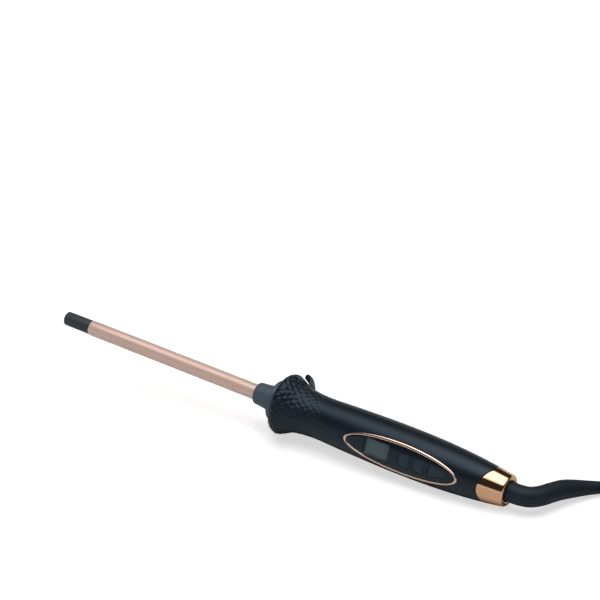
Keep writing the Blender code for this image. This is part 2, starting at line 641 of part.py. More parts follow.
BOOT_ROUTE = [(163.0, -1.14, 12.12), (170.5, -0.9, 11.75), (176.5, 1.2, 11.4), (180.8, 6.4, 11.0),
              (183.8, 13.5, 10.4), (187.4, 22.0, 9.2), (193.6, 32.0, 6.9), (202.5, 43.0, 4.5)]
CORD_ROUTE = [(203.1, 44.7, 4.3), (204.4, 47.9, 4.0), (207.7, 52.8, 3.7), (212.9, 57.5, 3.6),
              (219.1, 60.8, 3.8), (225.0, 62.2, 4.2), (227.5, 62.4, 4.4)]
TAIL_ROUTE = [(378.5, 62.5, 16.6), (384.2, 61.6, 15.2), (391.0, 58.8, 12.6), (396.8, 54.2, 9.6),
              (401.3, 48.0, 7.6), (404.2, 41.5, 6.9), (405.2, 34.8, 6.85)]


def stadium(half_run, radius, steps=16):
    """An outline with straight runs along x and round ends, round the hank's middle."""
    points = []
    for side, first in ((1, -90.0), (-1, 90.0)):
        for step in range(steps + 1):
            angle = radians(first + 180.0 * step / steps)
            points.append((side * half_run + radius * cos(angle), radius * sin(angle)))
    return points


def hank(material, tie_material):
    radius = HANK_LOOPS_R[-1] + CORD_D / 2
    half_run = HANK_RUN / 2
    low, high = HANK_LIFT, HANK_LIFT + HANK_LAYERS * CORD_D
    bm = slab(stadium(half_run, radius), low, high)
    bmesh.ops.translate(bm, verts=bm.verts, vec=HANK_MIDDLE)
    add_mesh("cord_hank", bm, material)
    inner = TIE_THICK
    wide = radius + GAP
    outline = rounded_outline((-wide - inner, wide + inner), (0.0, high + GAP + inner), 2.0 * MM)
    hole = rounded_outline((-wide, wide), (low - GAP, high + GAP), 0.8 * MM)
    upright = Matrix(((0, 0, 1, 0), (1, 0, 0, 0), (0, 1, 0, 0), (0, 0, 0, 1)))
    band = slab(outline, -TIE_WIDE / 2, TIE_WIDE / 2)
    way = slab(hole, -TIE_WIDE, TIE_WIDE)
    for part in (band, way):
        bmesh.ops.transform(part, matrix=Matrix.Translation(HANK_MIDDLE) @ upright,
                            verts=part.verts)
    tie = add_mesh("cord_tie", band, tie_material)
    cut(tie, way, "tie_way")


def plug(material, metal):
    """A flat two-pin mains plug, which lies past the hank with its pins pointing along -y."""
    entry = Vector(TAIL_ROUTE[-1]) * MM
    place = Matrix.Translation((entry.x, entry.y - 2 * GAP, 0)) @ Matrix.Rotation(pi / 2, 4, "Z")
    half, half_high = PLUG_FACE[0] / 2, PLUG_FACE[1] / 2
    near, waist, face = -9 * MM, 16 * MM - PLUG_LONG, -PLUG_LONG
    side = [(0, 5 * MM), (near, 6 * MM), (waist, half), (face, half)]
    bm = slab([(x, -y) for x, y in side] + list(reversed(side)), 0.0, 2 * half_high)
    flat_edges = [e for e in bm.edges if abs(e.verts[0].co.z - e.verts[1].co.z) < 1e-6]
    bmesh.ops.bevel(bm, geom=flat_edges, offset=2.5 * MM, segments=3, profile=0.5,
                    affect="EDGES")
    bmesh.ops.transform(bm, matrix=place, verts=bm.verts)
    add_mesh("plug_body", bm, material)
    for number, side in ((1, -1), (2, 1)):
        line = [(face - GAP, 0), (face - GAP, 2.0 * MM), (face - 18 * MM, 2.0 * MM),
                (face - 18.7 * MM, 1.7 * MM), (face - 19 * MM, 1.1 * MM), (face - 19 * MM, 0)]
        bm = turned(line, turns=20)
        shift = Matrix.Translation((0, side * PLUG_PIN_SPACING / 2, half_high))
        bmesh.ops.transform(bm, matrix=place @ shift, verts=bm.verts)
        add_mesh(f"plug_pin_{number}", bm, metal)


def main():
    clear_scene()
    satin_black = finish("satin_black", (0.022, 0.026, 0.030), 0.42)
    tip_black = finish("tip_black", (0.035, 0.046, 0.055), 0.55)
    collar_grey = finish("collar_grey", (0.075, 0.1, 0.13), 0.45)
    rose_gold = finish("rose_gold", (0.72, 0.42, 0.33), 0.28, 1.0)
    ring_gold = finish("polished_rose_gold", (0.83, 0.49, 0.33), 0.08, 1.0)
    gloss_black = finish("gloss_black", (0.012, 0.014, 0.016), 0.12)
    clear = finish("clear_window", (0.12, 0.15, 0.15), 0.05)
    lcd = finish("display_grey", (0.12, 0.15, 0.15), 0.3)
    steel = finish("steel", (0.6, 0.6, 0.6), 0.3, 1.0)
    aluminium = finish("aluminium", (0.75, 0.75, 0.76), 0.35, 1.0)
    brass = finish("brass", (0.7, 0.5, 0.2), 0.3, 1.0)
    white_ceramic = finish("white_ceramic", (0.85, 0.83, 0.78), 0.5)
    board_green = finish("board_green", (0.02, 0.16, 0.06), 0.45)
    inner_black = finish("inner_black", (0.02, 0.02, 0.02), 0.6)
    wire_white = finish("wire_white", (0.8, 0.8, 0.78), 0.6)
    acetal = finish("acetal", (0.8, 0.8, 0.76), 0.4)
    rubber_black = finish("rubber_black", (0.018, 0.019, 0.022), 0.6)

    wand_rest = bpy.data.objects.new("wand_rest", None)
    bpy.context.collection.objects.link(wand_rest)
    along = Vector((cos(TILT), 0, -sin(TILT)))
    up = Vector((sin(TILT), 0, cos(TILT)))
    out = Vector((0, -1, 0)) * cos(ROLL) + up * sin(ROLL)
    across = out.cross(along)
    turn = Matrix((along, across, out)).transposed().to_4x4()
    rest = Matrix.Translation(REST_POINT) @ turn @ Matrix.Translation((-MIDDLE_X, 0, 0))
    wand_rest.matrix_world = rest

    cool_tip(wand_rest, tip_black)
    barrel(wand_rest, rose_gold)
    heater(wand_rest, white_ceramic, aluminium, wire_white)
    collar(wand_rest, collar_grey, white_ceramic, steel)
    shells(wand_rest, satin_black)
    screws(wand_rest, steel)
    end_ring(wand_rest, ring_gold)
    bezel(wand_rest, ring_gold)
    panel(wand_rest, gloss_black, clear, lcd)
    keys(wand_rest, gloss_black)
    electronics(wand_rest, board_green, inner_black, white_ceramic, steel)
    stand(wand_rest, satin_black, steel)
    swivel(wand_rest, inner_black, brass, acetal)
    boot(rest, rubber_black)
    cord = smooth_route([Vector(p) * MM for p in CORD_ROUTE], CORD_D)
    wire("cord_tube", cord, CORD_D / 2, rubber_black)
    tail = smooth_route([Vector(p) * MM for p in TAIL_ROUTE], CORD_D)
    wire("cord_tail", tail, CORD_D / 2, rubber_black)
    hank(rubber_black, rubber_black)
    plug(rubber_black, steel)


main()
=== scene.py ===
import json
from math import atan2, cos, pi, radians, sin

import bmesh
import bpy
from mathutils import Matrix, Vector, geometry


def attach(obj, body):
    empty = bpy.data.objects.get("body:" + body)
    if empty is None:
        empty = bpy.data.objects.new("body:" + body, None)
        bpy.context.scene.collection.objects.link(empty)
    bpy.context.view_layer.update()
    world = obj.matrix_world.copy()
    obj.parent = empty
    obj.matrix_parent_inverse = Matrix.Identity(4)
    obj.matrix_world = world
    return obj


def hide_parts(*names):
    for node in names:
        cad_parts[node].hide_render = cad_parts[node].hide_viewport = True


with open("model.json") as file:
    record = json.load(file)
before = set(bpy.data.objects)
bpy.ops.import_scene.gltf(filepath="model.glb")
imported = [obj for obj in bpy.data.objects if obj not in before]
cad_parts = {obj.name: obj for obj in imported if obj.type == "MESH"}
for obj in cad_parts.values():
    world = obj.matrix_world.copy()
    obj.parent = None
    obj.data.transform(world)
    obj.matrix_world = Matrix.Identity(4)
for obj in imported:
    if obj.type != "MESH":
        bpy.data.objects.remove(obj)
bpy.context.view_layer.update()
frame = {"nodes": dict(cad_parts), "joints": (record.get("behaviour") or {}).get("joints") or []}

# A slim curling wand. Lengths are in millimetres in the wand's own frame: x along its axis from the
# tip to the cord end, z straight out of the control panel, y across it. TO_WORLD places that frame.

MM = 0.001
STAND_X, STAND_Z = 39.0, -17.2   # the stand's hinge, behind the handle
JOINTS = {joint["name"]: joint for joint in frame["joints"]}
ALONG = Vector(JOINTS["swivel"]["axis"]).normalized()
ACROSS = -Vector(JOINTS["stand_fold"]["axis"]).normalized()
OUT = ALONG.cross(ACROSS)
HINGE = Vector(JOINTS["stand_fold"]["pos_m"])
TURN = Matrix((ALONG, ACROSS, OUT)).transposed().to_4x4()
TO_WORLD = (Matrix.Translation(HINGE) @ TURN @ Matrix.Scale(MM, 4)
            @ Matrix.Translation((-STAND_X, 0, -STAND_Z)))
WORLD_MM = Matrix.Scale(MM, 4)

TURNS = 96                     # facets round a turned piece
GAP = 0.3

OUTLINE = [(20.4, 13.0), (21.3, 16.0), (22.5, 18.2), (24.0, 19.35), (25.8, 19.75), (28.0, 18.9),
           (31.0, 17.4), (34.0, 16.0), (37.0, 15.0), (41.0, 14.45), (46.0, 13.95), (53.0, 13.73),
           (62.0, 14.0), (74.0, 14.5), (88.0, 14.92), (101.0, 15.22), (112.0, 15.3),
           (124.0, 15.2), (135.0, 14.93), (145.0, 14.45), (154.0, 13.85), (162.0, 13.15),
           (171.8, 12.1), (178.5, 11.15), (185.0, 10.15)]
WALL = 2.0
COLLAR_R = 8.0
RING_EDGE_X = 171.8
RING_WAVE = 2.8
RING_REAR_X = 186.0
SCREW_X = (57.0, 161.0)
SEAM = 0.35                    # degrees that each shell stops short of the seam

PANEL_X, PANEL_LONG, PANEL_WIDE = 115.5, 40.5, 10.1
CROWN_R = 19.6
FACE_SUNK, FACE_THICK = 0.35, 1.4
KEYS = {"minus": (115.0, 122.3), "plus": (125.4, 132.8), "power": (136.0, 148.0)}
KEY_HALF, KEY_ROUND, KEY_PROUD, KEY_BASE = 4.0, 1.2, 0.15, 12.9
WINDOW_X, WINDOW_HALF = (90.0, 107.5), 5.8

PIN_R, PIN_HOLE_R = 1.0, 1.15    # the stand's hinge
LUG_HALF, LUG_R = 2.0, 2.2
ARM_LOW, ARM_HIGH = 2.3, 5.3

CORD_D, CORD_LENGTH = 6.4, 1.8   # millimetres and metres
BOOT_START_X = 178.8
BOOT_R = (6.6, 6.2, 3.9)
BOOT_WAIST = 0.62                # share of the boot's length before it tapers to the cord
BOOT_ROUTE = [(163.0, -1.14, 12.12), (170.5, -0.9, 11.75), (176.5, 1.2, 11.4), (180.8, 6.4, 11.0),
              (183.8, 13.5, 10.4), (187.4, 22.0, 9.2), (193.6, 32.0, 6.9), (202.5, 43.0, 4.5)]
CORD_ROUTE = [(203.1, 44.7, 4.3), (204.4, 47.9, 4.0), (207.7, 52.8, 3.7), (212.9, 57.5, 3.6),
              (219.1, 60.8, 3.8), (225.0, 62.2, 4.2), (232.0, 62.5, 4.6), (241.0, 62.6, 4.8)]
TAIL_ROUTE = [(362.0, 62.6, 17.6), (378.5, 62.5, 16.6), (384.2, 61.6, 15.2), (391.0, 58.8, 12.6),
              (396.8, 54.2, 9.6), (401.3, 48.0, 7.6), (404.2, 41.5, 6.9), (405.2, 34.8, 6.85),
              (405.2, 33.0, 6.85)]
HANK_X, HANK_Y, HANK_HALF = 304.0, 37.0, 55.0
NEAR_R, FAR_R = 19.2, 25.6
LAYER_Z = (4.8, 11.2, 17.6)
PLUG_PLACE = (405.2, 34.2, 0.0)
PLUG_LONG, PLUG_HALF, PLUG_Z = 34.0, 17.65, 6.85
PLUG_PIN_R, PLUG_PIN_LONG, PLUG_PIN_Y = 2.0, 19.0, 9.3
TIE_HALF, TIE_THICK, TIE_ROOM = 5.6, 1.1, 0.6

KNURL_X = (21.8, 60.0)
KNURL_LONG, KNURL_COUNT = 5.2, 26   # a diamond's length, and how many go round
KNURL_DEEP = 0.6

EYE_TURN, EYE_RAISE, EYE_LENS = 32.179, 30.741, 306.0
EYE_PLACE = (1.4456, -2.2794, 1.7009)


# ------------------------------------------------------------------ mesh tools

def smooth_line(points, steps=8):
    """Points on one smooth curve through the given points."""
    points = [Vector(p) for p in points]
    padded = [points[0] * 2 - points[1]] + points + [points[-1] * 2 - points[-2]]
    line = []
    for before, start, end, after in zip(padded, padded[1:], padded[2:], padded[3:]):
        reach = (end - start).length / 3
        handle_a = start + (end - before).normalized() * reach
        handle_b = end - (after - start).normalized() * reach
        line += geometry.interpolate_bezier(start, handle_a, handle_b, end, steps + 1)[:-1]
    line.append(points[-1])
    return line


def even_line(line, spacing):
    """The same curve with its points a spacing apart."""
    length = sum((b - a).length for a, b in zip(line, line[1:]))
    count = max(2, round(length / spacing))
    out, run, i = [line[0]], 0.0, 0
    for k in range(1, count):
        target = length * k / count
        while run + (line[i + 1] - line[i]).length < target:
            run += (line[i + 1] - line[i]).length
            i += 1
        out.append(line[i].lerp(line[i + 1], (target - run) / (line[i + 1] - line[i]).length))
    out.append(line[-1])
    return out


SKIN = [(p.x, p.y) for p in smooth_line([(x, r, 0) for x, r in OUTLINE], 8)]


def radius_at(x):
    """Radius of the handle's skin at a station."""
    for (x0, r0), (x1, r1) in zip(SKIN, SKIN[1:]):
        if x <= x1:
            return r0 + (r1 - r0) * (x - x0) / (x1 - x0)
    return SKIN[-1][1]


def panel_top(x, y):
    """Height of the panel's crowned surface over the wand's axis."""
    return radius_at(x) + 0.2 - y * y / (2 * CROWN_R)


def edge_shift(x, y, z):
    """How far the line between shells and end ring swings forward at a point."""
    share = max(0.0, 1.0 - abs(x - RING_EDGE_X) / 11.0)
    share = share * share * (3 - 2 * share)
    return RING_WAVE * cos(2 * atan2(y, z)) * share


def spin_line(points, turns=TURNS, closed=False):
    """A full turn of an outline of (x, radius) round the wand's axis."""
    bm = bmesh.new()
    verts = [bm.verts.new((x, 0.0, r)) for x, r in points]
    after = verts[1:] + verts[:1] if closed else verts[1:]
    edges = [bm.edges.new(pair) for pair in zip(verts, after)]
    bmesh.ops.spin(bm, geom=edges, cent=(0, 0, 0), axis=(1, 0, 0), angle=2 * pi, steps=turns,
                   use_merge=True, use_duplicate=False)
    bmesh.ops.remove_doubles(bm, verts=bm.verts, dist=1e-4)
    return bm


def spin_part(points, start, sweep, turns):
    """Part of a turn of a closed outline, from an angle off the panel, in degrees."""
    bm = bmesh.new()
    face = bm.faces.new([bm.verts.new((x, 0.0, r)) for x, r in points])
    bmesh.ops.rotate(bm, verts=bm.verts, cent=(0, 0, 0),
                     matrix=Matrix.Rotation(radians(start), 3, "X"))
    bmesh.ops.spin(bm, geom=[face], cent=(0, 0, 0), axis=(1, 0, 0), angle=radians(sweep),
                   steps=turns, use_merge=False, use_duplicate=False)
    return bm


def rounded(x, y, radius, steps=6):
    """A rectangle with round corners, counter-clockwise."""
    points = []
    corners = [(x[1], y[1], 0), (x[0], y[1], 90), (x[0], y[0], 180), (x[1], y[0], 270)]
    for corner_x, corner_y, first in corners:
        middle_x = corner_x - radius if corner_x == x[1] else corner_x + radius
        middle_y = corner_y - radius if corner_y == y[1] else corner_y + radius
        for step in range(steps + 1):
            angle = radians(first + 90.0 * step / steps)
            points.append((middle_x + radius * cos(angle), middle_y + radius * sin(angle)))
    return points


def key_outline(name, grow=0.0):
    """Outline of a key: two rounded rectangles, and a pointed key at the cord end."""
    x0, x1 = KEYS[name]
    low, high = -KEY_HALF - grow, KEY_HALF + grow
    if name != "power":
        return rounded((x0 - grow, x1 + grow), (low, high), KEY_ROUND + grow)
    back = rounded((x0 - grow, x0 + 4), (low, high), KEY_ROUND + grow)
    nose_r = 1.3 + grow
    nose = [(x1 - 1.3 + nose_r * cos(a), nose_r * sin(a))
            for a in (radians(-70 + 10 * step) for step in range(15))]
    return [p for p in back if p[0] < x0 + 2] + nose


def slab(outline, low, high):
    """A flat solid of an outline of (x, y), between two heights."""
    bm = bmesh.new()
    base = bm.faces.new([bm.verts.new((x, y, low)) for x, y in outline])
    top = bmesh.ops.extrude_face_region(bm, geom=[base])
    raised = [item for item in top["geom"] if isinstance(item, bmesh.types.BMVert)]
    bmesh.ops.translate(bm, verts=raised, vec=(0, 0, high - low))
    return bm


def bevel(bm, edges, offset, segments=3):
    bmesh.ops.bevel(bm, geom=edges, offset=offset, segments=segments, profile=0.5,
                    affect="EDGES", material=-1, clamp_overlap=True)


def sharp_edges(bm, least=40.0):
    bm.normal_update()
    return [e for e in bm.edges if len(e.link_faces) == 2 and e.calc_face_angle(0) > radians(least)]


def rod(start, end, radius, turns=40, round_edge=0.0):
    start, end = Vector(start), Vector(end)
    turn = Vector((0, 0, 1)).rotation_difference(end - start).to_matrix().to_4x4()
    bm = bmesh.new()
    bmesh.ops.create_cone(bm, cap_ends=True, segments=turns, radius1=radius, radius2=radius,
                          depth=(end - start).length,
                          matrix=Matrix.Translation((start + end) / 2) @ turn)
    if round_edge:
        bevel(bm, sharp_edges(bm, 60), round_edge)
    return bm


def ring_loop(bm, place, turns):
    """One closed loop of edges round a place."""
    made = bmesh.ops.create_circle(bm, cap_ends=False, segments=turns, radius=1.0, matrix=place)
    verts = made["verts"]
    return verts, list({e for v in verts for e in v.link_edges})


def bridge(bm, loops):
    for one, two in zip(loops, loops[1:]):
        bmesh.ops.bridge_loops(bm, edges=one + two)


def tube(line, radii, sides):
    """A round solid swept along a line, with its ends closed."""
    bm = bmesh.new()
    loops = []
    heading = (line[1] - line[0]).normalized()
    turn = Vector((0, 0, 1)).rotation_difference(heading).to_matrix()
    for i, place in enumerate(line):
        ahead = (line[min(i + 1, len(line) - 1)] - line[max(i - 1, 0)]).normalized()
        turn = heading.rotation_difference(ahead).to_matrix() @ turn
        heading = ahead
        size = Matrix.Diagonal((radii[i], radii[i], 1, 1))
        _, edges = ring_loop(bm, Matrix.Translation(place) @ turn.to_4x4() @ size, sides)
        loops.append(edges)
    bridge(bm, loops)
    bmesh.ops.contextual_create(bm, geom=loops[0])
    bmesh.ops.contextual_create(bm, geom=loops[-1])
    return bm


def make(name, bm, place=TO_WORLD, sharp=35.0):
    """Turn a bmesh in millimetres into an object in the frame, with its faces pointing out."""
    bmesh.ops.remove_doubles(bm, verts=bm.verts, dist=1e-4)
    bmesh.ops.transform(bm, matrix=place, verts=bm.verts)
    bmesh.ops.recalc_face_normals(bm, faces=bm.faces)
    mesh = bpy.data.meshes.new(name)
    bm.to_mesh(mesh)
    bm.free()
    mesh.shade_smooth()
    mesh.set_sharp_from_angle(angle=radians(sharp))
    piece = bpy.data.objects.new(name, mesh)
    bpy.context.scene.collection.objects.link(piece)
    return piece


def combine(piece, tools, operation="DIFFERENCE", sharp=35.0):
    """Cut a piece with, or join it to, other meshes in millimetres, and keep the result."""
    made = []
    for bm, place in tools:
        bmesh.ops.transform(bm, matrix=place, verts=bm.verts)
        bmesh.ops.recalc_face_normals(bm, faces=bm.faces)
        mesh = bpy.data.meshes.new(f"{piece.name}_tool")
        bm.to_mesh(mesh)
        bm.free()
        tool = bpy.data.objects.new(f"{piece.name}_tool", mesh)
        bpy.context.scene.collection.objects.link(tool)
        made.append(tool)
        step = piece.modifiers.new(tool.name, "BOOLEAN")
        step.operation = operation
        step.solver = "EXACT"
        step.object = tool
    bpy.context.view_layer.update()
    whole = piece.evaluated_get(bpy.context.evaluated_depsgraph_get())
    result = bpy.data.meshes.new_from_object(whole)
    piece.modifiers.clear()
    piece.data = result
    result.shade_smooth()
    result.set_sharp_from_angle(angle=radians(sharp))
    for tool in made:
        bpy.data.objects.remove(tool)


def place_piece(piece, body, material, slot, *nodes):
    """Give a piece its finish, say what body it rides on, and hide the CAD nodes it stands for."""
    piece.data.materials.clear()
    piece.data.materials.append(material)
    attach(piece, body)
    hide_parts(*nodes)
    return piece


# ------------------------------------------------------------------ materials

def group(name, inputs, outputs):
    """A new shader group, with its input and output nodes."""
    tree = bpy.data.node_groups.new(name, "ShaderNodeTree")
    for label, kind, value in inputs:
        socket = tree.interface.new_socket(label, in_out="INPUT", socket_type=kind)
        if value is not None:
            socket.default_value = value
    for label, kind in outputs:
        tree.interface.new_socket(label, in_out="OUTPUT", socket_type=kind)
    return tree, tree.nodes.new("NodeGroupInput"), tree.nodes.new("NodeGroupOutput")


def math_node(tree, operation, first, second):
    node = tree.nodes.new("ShaderNodeMath")
    node.operation = operation
    for socket, value in zip(node.inputs, (first, second)):
        if isinstance(value, (int, float)):
            socket.default_value = value
        else:
            tree.links.new(value, socket)
    return node.outputs[0]


def moulded_grain():
    """Fine spark-eroded grain with slow flow marks, as on a moulded plastic skin."""
    inputs = [("Vector", "NodeSocketVector", None), ("Grain Scale", "NodeSocketFloat", 2600.0),
              ("Flow Scale", "NodeSocketFloat", 60.0)]
    tree, given, out = group("moulded_grain", inputs,
                             [("Height", "NodeSocketFloat"), ("Tint", "NodeSocketFloat")])
    fine = tree.nodes.new("ShaderNodeTexNoise")
    fine.inputs["Detail"].default_value = 3.0
    tree.links.new(given.outputs["Vector"], fine.inputs["Vector"])
    tree.links.new(given.outputs["Grain Scale"], fine.inputs["Scale"])
    flow = tree.nodes.new("ShaderNodeTexNoise")
    flow.inputs["Detail"].default_value = 4.0
    tree.links.new(given.outputs["Vector"], flow.inputs["Vector"])
    tree.links.new(given.outputs["Flow Scale"], flow.inputs["Scale"])
    tint = math_node(tree, "ADD", math_node(tree, "MULTIPLY", flow.outputs["Fac"], 0.7),
                     math_node(tree, "MULTIPLY", fine.outputs["Fac"], 0.3))
    tree.links.new(fine.outputs["Fac"], out.inputs["Height"])
    tree.links.new(tint, out.inputs["Tint"])
    return tree


def handling_wear():
    """Faint rubbed patches and hair scratches, as a mask."""
    inputs = [("Vector", "NodeSocketVector", None), ("Patch Scale", "NodeSocketFloat", 35.0),
              ("Scratch Scale", "NodeSocketFloat", 420.0)]
    tree, given, out = group("handling_wear", inputs, [("Mask", "NodeSocketFloat")])
    patch = tree.nodes.new("ShaderNodeTexNoise")
    patch.inputs["Detail"].default_value = 5.0
    tree.links.new(given.outputs["Vector"], patch.inputs["Vector"])
    tree.links.new(given.outputs["Patch Scale"], patch.inputs["Scale"])
    stretch = tree.nodes.new("ShaderNodeMapping")
    stretch.inputs["Rotation"].default_value = (0.3, 0.5, 0.6)
    stretch.inputs["Scale"].default_value = (0.06, 1.0, 1.0)
    tree.links.new(given.outputs["Vector"], stretch.inputs["Vector"])
    scratch = tree.nodes.new("ShaderNodeTexNoise")
    tree.links.new(stretch.outputs["Vector"], scratch.inputs["Vector"])
    tree.links.new(given.outputs["Scratch Scale"], scratch.inputs["Scale"])
    thin = math_node(tree, "GREATER_THAN", scratch.outputs["Fac"], 0.72)
    mask = math_node(tree, "ADD", math_node(tree, "MULTIPLY", patch.outputs["Fac"], 0.85),
                     math_node(tree, "MULTIPLY", thin, 0.15))
    tree.links.new(mask, out.inputs["Mask"])
    return tree


def drawn_metal():
    """Fine lines drawn along a metal tube, and slow changes of tone."""
    inputs = [("Vector", "NodeSocketVector", None), ("Line Scale", "NodeSocketFloat", 2400.0)]
    tree, given, out = group("drawn_metal", inputs,
                             [("Height", "NodeSocketFloat"), ("Tint", "NodeSocketFloat")])
    along = tree.nodes.new("ShaderNodeMapping")
    along.inputs["Scale"].default_value = (0.02, 1.0, 1.0)
    tree.links.new(given.outputs["Vector"], along.inputs["Vector"])
    lines = tree.nodes.new("ShaderNodeTexNoise")
    lines.inputs["Detail"].default_value = 2.0
    tree.links.new(along.outputs["Vector"], lines.inputs["Vector"])
    tree.links.new(given.outputs["Line Scale"], lines.inputs["Scale"])
    slow = tree.nodes.new("ShaderNodeTexNoise")
    slow.inputs["Scale"].default_value = 28.0
    tree.links.new(given.outputs["Vector"], slow.inputs["Vector"])
    tint = math_node(tree, "ADD", math_node(tree, "MULTIPLY", lines.outputs["Fac"], 0.45),
                     math_node(tree, "MULTIPLY", slow.outputs["Fac"], 0.55))
    tree.links.new(lines.outputs["Fac"], out.inputs["Height"])
    tree.links.new(tint, out.inputs["Tint"])
    return tree


GRAIN = moulded_grain()
WEAR = handling_wear()
DRAWN = drawn_metal()


def linear(rgb):
    """A display colour of 0 to 255 as scene light."""
    out = []
    for value in rgb:
        share = value / 255
        out.append(share / 12.92 if share <= 0.04045 else ((share + 0.055) / 1.055) ** 2.4)
    return (*out, 1.0)


def material(name, dark, light, rough, surface=GRAIN, scales=None, bump=0.1, bump_mm=0.02,
             metallic=0.0, coat=0.0, coat_rough=0.1, alpha=1.0, specular=0.5,
             tint=(1.0, 1.0, 1.0)):
    """A finish: colour between two tones, roughness between two values, and a fine relief."""
    made = bpy.data.materials.new(name)
    made.use_nodes = True
    tree = made.node_tree
    shader = tree.nodes["Principled BSDF"]
    shader.inputs["Metallic"].default_value = metallic
    shader.inputs["Coat Weight"].default_value = coat
    shader.inputs["Coat Roughness"].default_value = coat_rough
    shader.inputs["Specular IOR Level"].default_value = specular
    shader.inputs["Alpha"].default_value = alpha
    shader.inputs["Specular Tint"].default_value = (*tint, 1.0)
    where = tree.nodes.new("ShaderNodeTexCoord")
    aligned = tree.nodes.new("ShaderNodeMapping")
    aligned.inputs["Rotation"].default_value = (0.0, -atan2(-ALONG.z, ALONG.x), 0.0)
    tree.links.new(where.outputs["Object"], aligned.inputs["Vector"])
    skin = tree.nodes.new("ShaderNodeGroup")
    skin.node_tree = surface
    for label, value in (scales or {}).items():
        skin.inputs[label].default_value = value
    tree.links.new(aligned.outputs["Vector"], skin.inputs["Vector"])
    rub = tree.nodes.new("ShaderNodeGroup")
    rub.node_tree = WEAR
    tree.links.new(aligned.outputs["Vector"], rub.inputs["Vector"])
    tone = tree.nodes.new("ShaderNodeMix")
    tone.data_type = "RGBA"
    tone.inputs[6].default_value = linear(dark)
    tone.inputs[7].default_value = linear(light)
    tree.links.new(skin.outputs["Tint"], tone.inputs[0])
    tree.links.new(tone.outputs[2], shader.inputs["Base Color"])
    gloss = tree.nodes.new("ShaderNodeMapRange")
    gloss.inputs["From Min"].default_value = 0.25
    gloss.inputs["From Max"].default_value = 0.75
    gloss.inputs["To Min"].default_value = rough[0]
    gloss.inputs["To Max"].default_value = rough[1]
    tree.links.new(rub.outputs["Mask"], gloss.inputs["Value"])
    tree.links.new(gloss.outputs["Result"], shader.inputs["Roughness"])
    if bump:
        relief = tree.nodes.new("ShaderNodeBump")
        relief.inputs["Strength"].default_value = bump
        relief.inputs["Distance"].default_value = bump_mm * MM
        tree.links.new(skin.outputs["Height"], relief.inputs["Height"])
        tree.links.new(relief.outputs["Normal"], shader.inputs["Normal"])
    return made


BLUE_SHEEN = (0.62, 0.82, 1.0)
SATIN_BLACK = material("satin_black", (19, 26, 32), (27, 36, 43), (0.34, 0.44), bump=0.5,
                       bump_mm=0.012, specular=0.45, tint=BLUE_SHEEN)
TIP_BLACK = material("tip_black", (46, 55, 62), (62, 72, 80), (0.5, 0.62), bump=0.4, bump_mm=0.012)
COLLAR_GREY = material("collar_grey", (70, 84, 98), (86, 102, 118), (0.42, 0.55), bump=0.3,
                       bump_mm=0.01)
ROSE_GOLD = material("rose_gold", (246, 206, 190), (252, 220, 206), (0.34, 0.42), surface=DRAWN,
                     bump=0.15, bump_mm=0.006, metallic=0.25)
RING_GOLD = material("polished_rose_gold", (234, 182, 144), (244, 196, 158), (0.07, 0.12),
                     bump=0.05, bump_mm=0.003, metallic=1.0)
BEZEL_GOLD = material("bezel_rose_gold", (236, 204, 186), (246, 216, 198), (0.16, 0.24),
                      bump=0.05, bump_mm=0.003, metallic=1.0)
GLOSS_BLACK = material("gloss_black", (20, 27, 34), (28, 37, 46), (0.2, 0.28), bump=0.05,
                       bump_mm=0.004, coat=0.12, coat_rough=0.08, specular=0.4, tint=BLUE_SHEEN)
KEY_BLACK = material("key_black", (34, 44, 54), (44, 56, 66), (0.3, 0.4), bump=0.15,
                     bump_mm=0.006, tint=BLUE_SHEEN)
WINDOW = material("clear_window", (88, 112, 122), (98, 124, 132), (0.05, 0.09), bump=0.0,
                  coat=0.5, coat_rough=0.04, alpha=0.35)
DISPLAY = material("display_grey", (112, 142, 152), (128, 156, 164), (0.35, 0.45), bump=0.1)
STEEL = material("steel", (150, 150, 152), (186, 186, 188), (0.25, 0.4), surface=DRAWN, bump=0.1,
                 metallic=1.0)
ALUMINIUM = material("aluminium", (180, 182, 186), (206, 208, 212), (0.3, 0.45), surface=DRAWN,
                     bump=0.1, metallic=1.0)
BRASS = material("brass", (190, 150, 80), (216, 178, 104), (0.22, 0.38), surface=DRAWN, bump=0.1,
                 metallic=1.0)
CERAMIC = material("white_ceramic", (208, 204, 194), (232, 229, 220), (0.5, 0.65), bump=0.3)
BOARD_GREEN = material("board_green", (18, 74, 42), (28, 98, 56), (0.35, 0.5), bump=0.3,
                       scales={"Grain Scale": 1200.0})
INNER_BLACK = material("inner_black", (26, 27, 29), (38, 39, 42), (0.5, 0.65), bump=0.4)
WIRE_WHITE = material("wire_white", (206, 205, 200), (226, 225, 220), (0.5, 0.6), bump=0.2)
ACETAL = material("acetal", (212, 211, 204), (230, 229, 222), (0.35, 0.45), bump=0.2)
RUBBER = material("rubber_black", (27, 32, 39), (38, 44, 52), (0.5, 0.6), bump=0.5, bump_mm=0.015,
                  specular=0.4, tint=BLUE_SHEEN)

